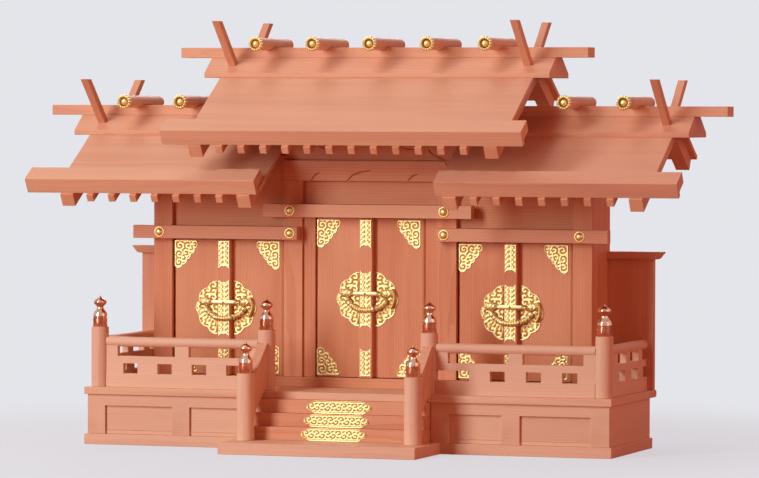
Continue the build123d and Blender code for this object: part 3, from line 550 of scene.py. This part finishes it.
def addHalfLock(sheet, middle, z, way, face):
    # rays from the middle of the straight inner edge to an ellipse round the lock's centre, by a
    # quadratic's root, less a row of round lobes; low down, radial ribs take the tendrils' place
    look = lockPlate
    halfWidth, halfHeight, inner = look["width"] / 2, look["height"] / 2, look["inner"]
    angle = np.linspace(-pi / 2, pi / 2, look["grid"][1])[None, :]
    share = np.linspace(0, 1, look["grid"][0])[:, None]
    square = (np.cos(angle) / halfWidth) ** 2 + (np.sin(angle) / halfHeight) ** 2
    linear = inner * np.cos(angle) / halfWidth ** 2
    reach = (-linear + np.sqrt(linear ** 2 - square * ((inner / halfWidth) ** 2 - 1))) / square
    turn = np.arctan2(reach * np.sin(angle) / halfHeight, (inner + reach * np.cos(angle)) / halfWidth)
    reach = reach * (1 - look["lobeDepth"] * (1 - np.abs(np.cos(turn * look["lobes"]))))
    x, up = share * reach * np.cos(angle), share * reach * np.sin(angle)
    centres = [(column, row, (-1) ** i) for column, rows in look["scrollRows"].items()
               for i, row in enumerate(rows)] + look["outerScrolls"]
    relief = scrolls(x, up, centres, tendrils["pitch"] * look["pitchTimes"], tendrils["span"] * look["spanTimes"])
    ribs = 0.5 + 0.5 * np.cos(turn * look["ribs"])
    offRibs = np.abs(np.hypot((inner + x) / look["ribsAt"][0], up / look["ribsAt"][1]) - 1)
    ribbed = np.clip(1 - offRibs / look["ribsWide"], 0, 1) * (up < look["ribsUnder"])
    relief = relief * (1 - ribbed) + ribs * look["ribRelief"] * ribbed
    relief = np.where(share > look["rim"], 1.0, relief)
    addPatch(sheet, middle + way * (inner + x), z + up, relief, face, look["base"], look["relief"])


leafLump = {  # the bright leaf that holds each end of the lock's ring, in mm from the lock's centre
    "aside": 19.8, "rise": 5.5, "half": (7.6, 4.4), "sunk": 0.6, "base": 0.2, "height": 3.6, "round": 0.97,
    "lobes": 7, "lobeDepth": 0.13, "veins": 1.9, "veinSlant": 1.2, "veinRelief": 0.12, "grid": (26, 60),
}


def addLeafLump(sheet, middle, z, way, face):  # an ellipse with lobes, domed as a ball, with slanting veins
    look = leafLump
    angle = np.linspace(0, 2 * pi, look["grid"][1])[None, :]
    share = np.linspace(0, 1, look["grid"][0])[:, None]
    reach = share * (1 - look["lobeDepth"] * (0.5 - 0.5 * np.cos(look["lobes"] * angle)))
    x, up = reach * look["half"][0] * np.cos(angle), reach * look["half"][1] * np.sin(angle)
    veins = 0.5 + 0.5 * np.cos(x * look["veins"] + look["veinSlant"] * np.abs(up))
    relief = np.sqrt(1 - look["round"] * share ** 2) * (1 - look["veinRelief"] * (1 - veins))
    addPatch(sheet, middle + way * (look["aside"] + x), z + look["rise"] + up, relief,
             face - look["sunk"], look["base"], look["height"])


doorLeaf = {"pinReach": 4.6, "battenThickness": 6.0, "lockDrop": {"left": 0.8, "centre": 1.2, "right": 0.8}}
lockRing = {  # in mm from the lock's centre
    "half": 19.5, "rise": 2.5, "drop": 12.2, "proud": 3.4, "closer": 1.6, "bendAt": 9.5, "bendOver": 1.5,
    "radius": 2.1, "petal": 0.75, "petalTurn": 2.6, "relief": 0.7, "places": 90,
    "spans": {"left": (-19.2, 8.0), "right": (8.4, 19.2)},
}


def addLockRing(sheet, middle, z, hand, face):
    # a rod whose radius swells as a cosine, along the lower half of an ellipse; a smooth step takes it
    # forward over the batten
    look = lockRing
    x = np.linspace(*look["spans"][hand], look["places"])
    up = look["rise"] - look["drop"] * np.sqrt(np.clip(1 - (x / look["half"]) ** 2, 0, 1))
    over = 0.5 * (1 + np.tanh((look["bendAt"] - np.abs(x)) / look["bendOver"]))
    proud = look["proud"] + (doorLeaf["battenThickness"] - look["closer"]) * over
    petals = 0.5 + 0.5 * np.cos((middle + x) * look["petalTurn"])
    path = np.stack([middle + x, face - proud, z + up], -1)
    # painted highlight on the swellings and painted shade between them, through the relief
    addTube(sheet, path, look["radius"] + look["petal"] * petals, look["relief"] + (1 - look["relief"]) * petals)


lockBar = {  # the flat bar across the batten and the pin in its middle, in mm from the lock's centre
    "half": 12.7, "radius": 2.35, "taper": 0.22, "blunt": 16, "squash": 0.5, "proud": 1.2, "rise": 5.4,
    "places": 25, "segments": 24, "pinSegments": 16,
    # the pin's relief paints shade, darkest at its foot
    "pinProud": 2.2, "pinAlong": (0, 0.9, 1.2), "pinRadius": (1.1, 0.9, 0.0), "pinRelief": (0.2, 0.3, 0.5),
}


def addLockBar(sheet, middle, z, front):  # a flattened round bar that tapers evenly and ends bluntly
    look = lockBar
    share = np.linspace(-1, 1, look["places"])
    radius = look["radius"] * (1 - look["taper"] * np.abs(share)) * np.sqrt(1 - 0.999 * share ** look["blunt"])
    addTurned(sheet, share * look["half"], radius, (middle, front - look["proud"], z + look["rise"]), "x",
              look["segments"], squash=look["squash"])
    addTurned(sheet, look["pinAlong"], look["pinRadius"], (middle, front - look["pinProud"], z + look["rise"]),
              "-y", look["pinSegments"], relief=look["pinRelief"])


shackle = {  # in mm from the lock's centre
    "aside": 21.5, "bow": 5.2, "bend": 1.4, "rise": 1.5, "height": 11, "turns": (-0.9, 0.75),
    # its low relief paints the whole rod in shade
    "proud": 2.6, "radius": 1.5, "relief": 0.22, "places": 30,
}


def addShackle(sheet, middle, z, face):  # a rod that rises evenly while a cosine bows it outwards
    look = shackle
    turn = np.linspace(*look["turns"], look["places"])
    x = middle + look["aside"] + look["bow"] * np.cos(turn * look["bend"])
    path = np.stack([x, np.full_like(x, face - look["proud"]), z + look["rise"] + look["height"] * turn], -1)
    addTube(sheet, path, look["radius"], look["relief"])


def dressDoor(bay):
    leftLow = inMillimetres(bay + "_door_left_leaf")[0]
    rightLow, rightHigh = inMillimetres(bay + "_door_right_leaf")
    low, high = rightLow[2] + doorLeaf["pinReach"], rightHigh[2] - doorLeaf["pinReach"]
    middle = (leftLow[0] + rightHigh[0]) / 2 + coverBatten["shift"] / mm
    face = rightLow[1]
    front = face - doorLeaf["battenThickness"]
    lockZ = (low + high) / 2 - doorLeaf["lockDrop"][bay]
    low, high = low + cornerPlate["endGap"], high - cornerPlate["endGap"]
    for hand, edge, way in (("left", leftLow[0], 1), ("right", rightHigh[0], -1)):
        sheet = newSheet()
        cornerX = edge + way * cornerPlate["edgeGap"] + cornerPlate["shift"]
        addCorner(sheet, cornerX, low, way, 1, face)
        addCorner(sheet, cornerX, high, way, -1, face)
        addHalfLock(sheet, middle, lockZ, -way, face)
        addLeafLump(sheet, middle, lockZ, -way, face)
        addLockRing(sheet, middle, lockZ, hand, face)
        if hand == "left":
            addStrip(sheet, middle, low, 1, front, stripPlate["height"])
            addStrip(sheet, middle, high, -1, front, stripPlate["height"])
            addStrip(sheet, middle, lockZ, 1, front, lockPlate["height"] / 2, True)
            addLockBar(sheet, middle, lockZ, front)
        else:
            addShackle(sheet, middle, lockZ, face)
        finishSheet(sheet, f"{bay}_door_{hand}_fittings", gilt)


for bay in ("left", "centre", "right"):
    dressDoor(bay)
print("door fittings made")

# Turned copper caps on the posts: (share of the height, radius in mm) from the foot to the point
finialProfile = (
    (0.0, 6.2), (0.012, 6.5), (0.13, 6.5), (0.137, 6.15), (0.15, 6.15), (0.157, 6.5), (0.28, 6.5), (0.287, 6.0),
    (0.3, 6.0), (0.307, 6.45), (0.325, 6.45), (0.332, 6.0), (0.345, 6.0), (0.352, 6.4), (0.4, 6.35), (0.44, 6.1),
    (0.48, 5.5), (0.52, 4.6), (0.56, 3.7), (0.6, 3.1), (0.635, 2.9), (0.66, 3.1), (0.675, 3.7), (0.69, 3.75),
    (0.7, 4.2), (0.72, 5.0), (0.75, 5.6), (0.785, 5.85), (0.82, 5.7), (0.855, 5.1), (0.885, 4.1), (0.91, 2.9),
    (0.93, 1.8), (0.95, 1.15), (0.975, 0.8), (1.0, 0.0))

sheet = newSheet()
share, radius = np.array(finialProfile).T
for low, high in solidsOf("post_finials"):
    origin = ((low[0] + high[0]) / 2, (low[1] + high[1]) / 2, low[2])
    addTurned(sheet, share * (high[2] - low[2]), radius, origin, "z")
finishSheet(sheet, "post_finials", copper)

# Domed covers on the lintels, and flower caps on the logs: (mm forward, radius, depth of the petals, relief); the
# relief here only sets the colour, low for painted shade in the grooves and high for a painted highlight
frontCaps = {
    "nail_covers": {"petals": 1, "profile": (
        (0, 5.0, 0, 0.7), (0.4, 5.0, 0, 0.8), (0.75, 4.6, 0, 0.9), (0.6, 4.0, 0, 0.1), (0.6, 3.5, 0, 0.05),
        (1.0, 3.3, 0, 0.5), (1.8, 2.7, 0, 0.8), (2.4, 1.7, 0, 1), (2.65, 0.8, 0, 1), (2.7, 0, 0, 1))},
    "log_caps": {"petals": 15, "profile": (
        (0, 6.4, 0, 0.4), (0.5, 6.9, 0.05, 0.6), (1.6, 7.2, 0.12, 0.8), (2.8, 7.0, 0.15, 0.9),
        (3.7, 6.4, 0.17, 1), (4.0, 5.6, 0.15, 1), (3.7, 4.9, 0.1, 0.8), (2.6, 4.3, 0.04, 0.2), (1.4, 4.0, 0, 0),
        (0.9, 3.6, 0, 0), (1.2, 3.3, 0, 0.3), (2.3, 3.0, 0, 0.8), (3.1, 2.3, 0, 1), (3.6, 1.3, 0, 1),
        (3.75, 0, 0, 1))},
}
for name, look in frontCaps.items():
    sheet = newSheet()
    forward, radius, depth, relief = np.array(look["profile"], float).T
    for low, high in solidsOf(name):
        origin = ((low[0] + high[0]) / 2, high[1], (low[2] + high[2]) / 2)
        addTurned(sheet, forward, radius, origin, "-y", 90, look["petals"], depth, relief=relief)
    finishSheet(sheet, name, gilt)

stepPlate = {  # long plates on the risers, with two scallops and a point at each end, in mm
    "tip": 5.0, "shoulder": 4.5, "tipShare": 0.55, "rim": 0.88, "groove": (0.76, 0.86), "grooveRelief": 0.15,
    "scrollReach": 26, "scrollEvery": 5.2, "scrollAside": 0.9, "pitch": 3.0, "span": 3.6, "gain": 1.5,
    "grid": (40, 180),
}


def addStepPlate(sheet, low, high):  # inwards from each end its height grows as one quarter circle, then another
    look = stepPlate
    half, rise = (high[0] - low[0]) / 2, (high[2] - low[2]) / 2
    x = np.linspace(-1, 1, look["grid"][1])[None, :] * half
    share = np.linspace(-1, 1, look["grid"][0])[:, None]
    inward = half - np.abs(x)
    tip = np.sqrt(1 - (1 - np.clip(inward / look["tip"], 0, 1)) ** 2)
    shoulder = np.sqrt(1 - (1 - np.clip((inward - look["tip"]) / look["shoulder"], 0, 1)) ** 2)
    z = share * rise * (look["tipShare"] * tip + (1 - look["tipShare"]) * shoulder)
    places = np.arange(-look["scrollReach"], look["scrollReach"] + 1, look["scrollEvery"])
    centres = [(place, look["scrollAside"] * (-1) ** i, (-1) ** i) for i, place in enumerate(places)]
    relief = np.clip(scrolls(x, z, centres, look["pitch"], look["span"]) * look["gain"], 0, 1)
    fromMiddle = np.abs(share)
    relief = np.where((fromMiddle > look["rim"]) & (inward > 0), 1.0, relief)
    # painted shade: the groove is coloured dark as well as sunk
    inGroove = (fromMiddle > look["groove"][0]) & (fromMiddle < look["groove"][1])
    relief = np.where(inGroove, look["grooveRelief"], relief)
    addPatch(sheet, (low[0] + high[0]) / 2 + x, (low[2] + high[2]) / 2 + z, relief, high[1])


sheet = newSheet()
for low, high in solidsOf("step_fittings"):
    addStepPlate(sheet, low, high)
finishSheet(sheet, "step_fittings", gilt)
print("metal made")

# Curves cut into the beam and the board above it, each a line of (x, z) places in mm
carvings = {
    "carved_beam": (((-57.3, 243.2), (-53.1, 248.5), (-48.9, 250.8)),
                    ((-21.8, 242.9), (-16.2, 248.8), (-7.9, 251.6), (1.2, 253.1)),
                    ((37.1, 243.6), (41.2, 247.9), (46.7, 250.2)), ((73.2, 261.6), (76.2, 257.3))),
    "centre_upper_boards": (((55.3, 272.4), (60.9, 267.2), (70.5, 263.3)), ((-51.5, 275.1), (-41.7, 271.8)),
                            ((29.8, 273.5), (41.6, 272.3))),
}
carvingShape = {  # in mm; endWidth is a share of halfWidth
    "halfWidth": 0.75, "endWidth": 0.35, "endTurn": 0.15, "slope": 1.25, "placesEach": 24,
    "step": 0.45, "base": 0.05, "thickness": 0.8, "margin": 0.6, "highest": 300,
    "darker": 5.0,  # painted shade: the bottom of a cut is darkened about as far as late wood
    "grainShift": (0.1, 0.03, 0.01),
}


def carveFace(name):
    # a thin facing that dips along each curve by the slope less the distance in widths; along a curve
    # the width swells as a sine
    look = carvingShape
    low, high = inMillimetres(name)
    bottom = low[2] if name == "carved_beam" else max(low[2], inMillimetres("carved_beam")[1][2])
    top = min(high[2] - look["margin"], look["highest"])
    x = np.arange(low[0] + look["margin"], high[0] - look["margin"], look["step"])[None, :]
    z = np.arange(bottom + look["margin"], top, look["step"])[:, None]
    cut = np.zeros_like(x + z)
    for line in carvings[name]:
        line = np.array(line)
        places = np.concatenate([np.linspace(a, b, look["placesEach"]) for a, b in zip(line[:-1], line[1:])])
        swell = np.sin(np.linspace(look["endTurn"], pi - look["endTurn"], len(places)))
        widths = look["halfWidth"] * (look["endWidth"] + (1 - look["endWidth"]) * swell)
        for (placeX, placeZ), width in zip(places, widths):
            cut = np.maximum(cut, np.clip(look["slope"] - np.hypot(x - placeX, z - placeZ) / width, 0, 1))
    sheet = newSheet()
    addPatch(sheet, x, z, 1 - cut, low[1], look["base"], look["thickness"])
    points = np.concatenate(sheet["points"])
    mesh = bpy.data.meshes.new(name + "_carving")
    mesh.from_pydata(points.tolist(), [], np.concatenate(sheet["quads"]).tolist())
    setAttribute(mesh, "grain", points + look["grainShift"])
    # painted shade: the cuts are darkened by their depth
    setAttribute(mesh, "toneAndShade", np.pad(cut, 1).ravel() * look["darker"])
    piece = newPiece(name + "_carving", mesh, hinoki)
    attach(piece, nodes[name]["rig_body"])


for name in carvings:
    carveFace(name)
print("carvings cut")

# Floor, light and camera

stageLook = {
    "pale": "#E4E5EA",
    "floorHalf": 6.0,
    "shadeWithin": 0.3,        # the floor shows its shade within this distance of the shrine's middle,
    "plainBeyond": 0.75,       # and the plain backdrop's colour beyond this one
    "shadeShare": 0.25,        # how much of the real shade is seen close to the shrine
    "worldStrength": 0.27,
    "glossyStrength": 0.8,
    "floorReturn": "#C58A78",  # the floor sends less light back than it shows, and warmer
    "bounce": "#EE8468",       # light that comes back from the wood and the room, warm
}


def makeFloor():
    look = stageLook
    material, tree = newMaterial("paleFloor")
    toCamera = addNode(tree, "ShaderNodeLightPath").outputs["Is Camera Ray"]
    place = addNode(tree, "ShaderNodeTexCoord").outputs["Object"]
    away = addNode(tree, "ShaderNodeVectorMath", {"operation": "LENGTH"}, {0: place}).outputs["Value"]
    plainShare = addNode(tree, "ShaderNodeMapRange", {"interpolation_type": "SMOOTHSTEP"}, {
        "Value": away, "From Min": look["shadeWithin"], "From Max": look["plainBeyond"],
        "To Min": 1 - look["shadeShare"], "To Max": 1.0})
    plain = addNode(tree, "ShaderNodeMath", {"operation": "MULTIPLY"}, {0: plainShare, 1: toCamera})
    seen = addNode(tree, "ShaderNodeBsdfDiffuse", inputs={"Color": hexToLinear(look["pale"])})
    sent = addNode(tree, "ShaderNodeBsdfDiffuse", inputs={"Color": hexToLinear(look["floorReturn"])})
    lit = addNode(tree, "ShaderNodeMixShader", inputs={0: toCamera, 1: sent, 2: seen})
    glow = addNode(tree, "ShaderNodeEmission", inputs={"Color": hexToLinear(look["pale"])})
    mixed = addNode(tree, "ShaderNodeMixShader", inputs={0: plain, 1: lit, 2: glow})
    addNode(tree, "ShaderNodeOutputMaterial", inputs={"Surface": mixed})
    half = look["floorHalf"]
    mesh = bpy.data.meshes.new("floor")
    mesh.from_pydata([(-half, -half, 0), (half, -half, 0), (half, half, 0), (-half, half, 0)], [], [(0, 1, 2, 3)])
    floor = newPiece("floor", mesh, material)


def makeWorld():  # pale straight behind the shrine and in reflections, warm and dim as light
    look = stageLook
    world = bpy.data.worlds.new("studio")
    bpy.context.scene.world = world
    world.use_nodes = True
    tree = world.node_tree
    tree.nodes.clear()
    path = addNode(tree, "ShaderNodeLightPath")
    straight = addNode(tree, "ShaderNodeBackground", inputs={"Color": hexToLinear(look["pale"]), "Strength": 1.0})
    room = addNode(tree, "ShaderNodeBackground",
                   inputs={"Color": hexToLinear(look["bounce"]), "Strength": look["worldStrength"]})
    mirrored = addNode(tree, "ShaderNodeBackground",
                       inputs={"Color": hexToLinear(look["pale"]), "Strength": look["glossyStrength"]})
    unseen = addNode(tree, "ShaderNodeMixShader", inputs={0: path.outputs["Is Glossy Ray"], 1: room, 2: mirrored})
    mixed = addNode(tree, "ShaderNodeMixShader", inputs={0: path.outputs["Is Camera Ray"], 1: unseen, 2: straight})
    addNode(tree, "ShaderNodeOutputWorld", inputs={"Surface": mixed})


softboxes = {  # place, the point that it faces, width and height in metres, watts, colour
    "tallSoftboxLeft": ((-1.25, -2.2, 1.1), (0, 0, 0.2), (0.7, 2.2), 51, "#FFFFFF"),
    "overhead": ((-0.6, 0.3, 2.3), (0, 0, 0.25), (1.6, 1.2), 12, "#FFFFFF"),
    "backFill": ((-0.9, 2.6, 1.4), (0, 0, 0.2), (1.4, 1.4), 22, "#FFFFFF"),
    "warmReturnRight": ((2.2, -0.5, 0.9), (0, 0, 0.2), (1.6, 1.6), 11.5, "#FFA898"),
}


def addSoftbox(name, place, aim, size, power, colour):
    light = bpy.data.lights.new(name, "AREA")
    light.shape = "RECTANGLE"
    light.size, light.size_y = size
    light.energy = power
    light.color = hexToLinear(colour)[:3]
    lamp = bpy.data.objects.new(name, light)
    lamp.location = place
    lamp.rotation_euler = (Vector(aim) - Vector(place)).to_track_quat("-Z", "Y").to_euler()
    bpy.context.scene.collection.objects.link(lamp)


cameraView = {  # the photograph's viewing angle: from the front, a little to the right and above
    "turn": 18.866, "tilt": 1.671, "roll": -0.16,  # degrees
    "focus": 4494.4, "imageWidth": 759,            # pixels
    "sensor": 36.0,
    "distance": 4060.6 * mm, "sideShift": -32.28 * mm, "rise": 7.88 * mm,
    "aimHeight": 200 * mm,                         # above the ground, in the plane of the base's front
}


def makeCamera():
    view = cameraView
    turn, tilt, roll = (radians(view[k]) for k in ("turn", "tilt", "roll"))
    right = Vector((cos(turn), sin(turn), 0))
    deep = Vector((-sin(turn), cos(turn), 0))
    up = Vector((0, 0, 1))
    ahead = deep * cos(tilt) - up * sin(tilt)
    over = deep * sin(tilt) + up * cos(tilt)
    aim = Vector((0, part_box("base_frames")[0].y, view["aimHeight"]))
    place = aim - right * view["sideShift"] - over * view["rise"] - ahead * view["distance"]
    rolledRight = right * cos(roll) - over * sin(roll)
    rolledUp = right * sin(roll) + over * cos(roll)
    data = bpy.data.cameras.new("camera")
    data.sensor_width = view["sensor"]
    data.lens = view["focus"] / view["imageWidth"] * view["sensor"]
    camera = bpy.data.objects.new("camera", data)
    turned = Matrix((rolledRight, rolledUp, -ahead)).transposed()
    camera.matrix_world = Matrix.Translation(place) @ turned.to_4x4()
    bpy.context.scene.collection.objects.link(camera)
    bpy.context.scene.camera = camera


makeFloor()
makeWorld()
for name, values in softboxes.items():
    addSoftbox(name, *values)
makeCamera()
bpy.context.scene.view_settings.view_transform = "Standard"
print("stage, light and camera set")
